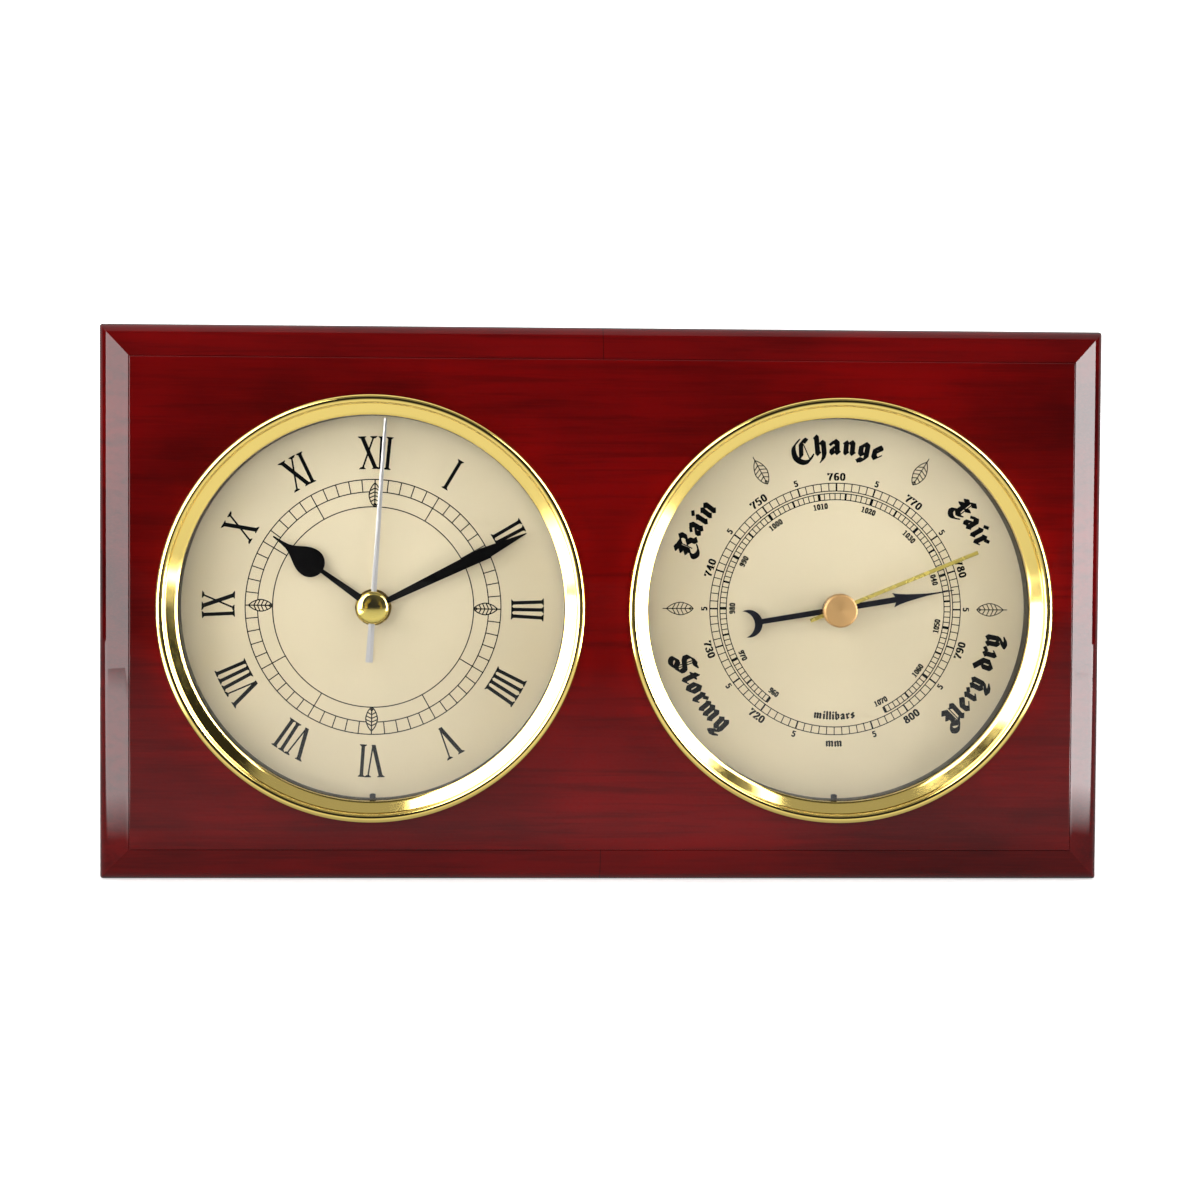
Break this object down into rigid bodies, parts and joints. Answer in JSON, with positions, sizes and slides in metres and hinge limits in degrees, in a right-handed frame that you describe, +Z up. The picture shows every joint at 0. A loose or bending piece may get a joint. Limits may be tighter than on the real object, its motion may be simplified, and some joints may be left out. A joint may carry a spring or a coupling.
{
  "type": "barometer wall clock",
  "caption": "Horizontal lacquered wooden board for the wall, with a quartz clock and an aneroid barometer side by side in round brass bezels.",
  "frame": {"origin": "centre of the board's flat back face, on the wall", "axes": "+X to the right across the board, +Y into the wall, +Z up"},
  "size_m": [0.31, 0.038, 0.171],
  "materials": {
    "lacquered_wood": "high gloss mahogany red lacquer",
    "polished_brass": "mirror polished and lacquered",
    "case_brass": "pressed sheet, dull",
    "movement_brass": "turned and stamped, satin",
    "glass": "clear flat mineral glass",
    "black_ring": "matt black",
    "dial_metal": "satin champagne",
    "black_plastic": "moulded, fine grain",
    "gear_plastic": "moulded acetal",
    "blackened_steel": "black, satin",
    "blued_steel": "blued",
    "steel": "bright",
    "silver_hand": "bright, brushed",
    "zinc_plate": "yellow zinc plated",
    "copper_wire": "enamelled winding",
    "circuit_green": "solder mask",
    "battery_sleeve": "printed sleeve, no marks"
  },
  "bodies": {
    "case": {"board": "lacquered_wood", "hanger_plates": "zinc_plate", "hanger_screws": "steel", "clock_bezel": "polished_brass", "clock_lens": "glass", "clock_spacer": "black_ring", "clock_dial": "dial_metal", "clock_case": "case_brass", "clock_clips": "steel", "movement_front": "black_plastic", "movement_back": "black_plastic", "train_bridge": "gear_plastic", "bush_washer": "movement_brass", "bush_nut": "blackened_steel", "stator": "steel", "coil": "copper_wire", "circuit_board": "circuit_green", "battery": "battery_sleeve", "battery_contacts": "steel", "baro_bezel": "polished_brass", "baro_lens": "glass", "baro_spacer": "black_ring", "baro_dial": "dial_metal", "baro_case": "case_brass", "baro_clips": "steel", "base_plate": "movement_brass", "case_screws": "steel", "aneroid_capsule": "movement_brass", "bridge_pillars": "movement_brass", "baro_bridge": "movement_brass", "bridge_screws": "steel", "rocker_brackets": "movement_brass", "hairspring": "blued_steel", "hairspring_stud": "movement_brass"},
    "seconds": {"seconds_wheel": "gear_plastic", "seconds_hand": "silver_hand", "hand_cap": "polished_brass"},
    "rotor": {"rotor": "blackened_steel"},
    "intermediate": {"intermediate_wheel": "gear_plastic"},
    "third": {"third_wheel": "gear_plastic"},
    "centre": {"centre_wheel": "gear_plastic"},
    "minute": {"minute_pipe": "steel", "minute_hand": "blackened_steel"},
    "minute_work": {"minute_wheel": "gear_plastic"},
    "hour": {"hour_wheel": "gear_plastic", "hour_hand": "blackened_steel"},
    "setting": {"setting_knob": "black_plastic"},
    "sector": {"sector_gear": "movement_brass"},
    "pointer": {"pointer_pinion": "steel", "indicator_hand": "blued_steel"},
    "rocker": {"rocker": "steel"},
    "set_pointer": {"set_hand": "polished_brass", "set_knob": "polished_brass"},
    "regulator": {"capsule_screw": "movement_brass"}
  },
  "joints": [
    {"name": "seconds_turn", "type": "hinge", "parent": "case", "child": "seconds", "pos_m": [-0.0709, -0.022, -0.0011], "axis": [0, 1, 0], "continuous": true},
    {"name": "rotor_turn", "type": "hinge", "parent": "case", "child": "rotor", "pos_m": [-0.05704, -0.015, 0.00394], "axis": [0, 1, 0], "continuous": true},
    {"name": "intermediate_turn", "type": "hinge", "parent": "case", "child": "intermediate", "pos_m": [-0.06268, -0.015, 0.00189], "axis": [0, 1, 0], "continuous": true},
    {"name": "third_turn", "type": "hinge", "parent": "case", "child": "third", "pos_m": [-0.07381, -0.015, 0.00689], "axis": [0, 1, 0], "continuous": true},
    {"name": "centre_turn", "type": "hinge", "parent": "case", "child": "centre", "pos_m": [-0.0709, -0.013, -0.0011], "axis": [0, 1, 0], "continuous": true},
    {"name": "minute_turn", "type": "hinge", "parent": "case", "child": "minute", "pos_m": [-0.0709, -0.022, -0.0011], "axis": [0, 1, 0], "continuous": true},
    {"name": "minute_work_turn", "type": "hinge", "parent": "case", "child": "minute_work", "pos_m": [-0.07936, -0.015, -0.00418], "axis": [0, 1, 0], "continuous": true},
    {"name": "hour_turn", "type": "hinge", "parent": "case", "child": "hour", "pos_m": [-0.0709, -0.022, -0.0011], "axis": [0, 1, 0], "continuous": true},
    {"name": "setting_turn", "type": "hinge", "parent": "case", "child": "setting", "pos_m": [-0.08866, -0.015, -0.00254], "axis": [0, 1, 0], "continuous": true},
    {"name": "sector_swing", "type": "hinge", "parent": "case", "child": "sector", "pos_m": [0.05755, -0.015, 0.0073], "axis": [0, 1, 0], "range_deg": [-9.07, 32.07]},
    {"name": "pointer_turn", "type": "hinge", "parent": "case", "child": "pointer", "pos_m": [0.0721, -0.022, -0.0011], "axis": [0, 1, 0], "range_deg": [-224.49, 63.49]},
    {"name": "rocker_swing", "type": "hinge", "parent": "case", "child": "rocker", "pos_m": [0.0461, -0.0125, 0.0034], "axis": [1, 0, 0], "range_deg": [-3.85, 1.09]},
    {"name": "set_pointer_turn", "type": "hinge", "parent": "case", "child": "set_pointer", "pos_m": [0.0721, -0.022, -0.0011], "axis": [0, 1, 0], "continuous": true},
    {"name": "regulator_turn", "type": "hinge", "parent": "case", "child": "regulator", "pos_m": [0.0461, -0.008, -0.0151], "axis": [0, 1, 0], "continuous": true}
  ],
  "couplings": [
    {"joint": "intermediate_turn", "follows": "seconds_turn", "ratio": -6},
    {"joint": "rotor_turn", "follows": "seconds_turn", "ratio": 30},
    {"joint": "third_turn", "follows": "seconds_turn", "ratio": -0.13333},
    {"joint": "centre_turn", "follows": "seconds_turn", "ratio": 0.016667},
    {"joint": "minute_work_turn", "follows": "minute_turn", "ratio": -0.33333},
    {"joint": "hour_turn", "follows": "minute_turn", "ratio": 0.083333},
    {"joint": "setting_turn", "follows": "minute_turn", "ratio": 0.83333},
    {"joint": "pointer_turn", "follows": "sector_swing", "ratio": -7},
    {"joint": "rocker_swing", "follows": "sector_swing", "ratio": -0.12}
  ]
}
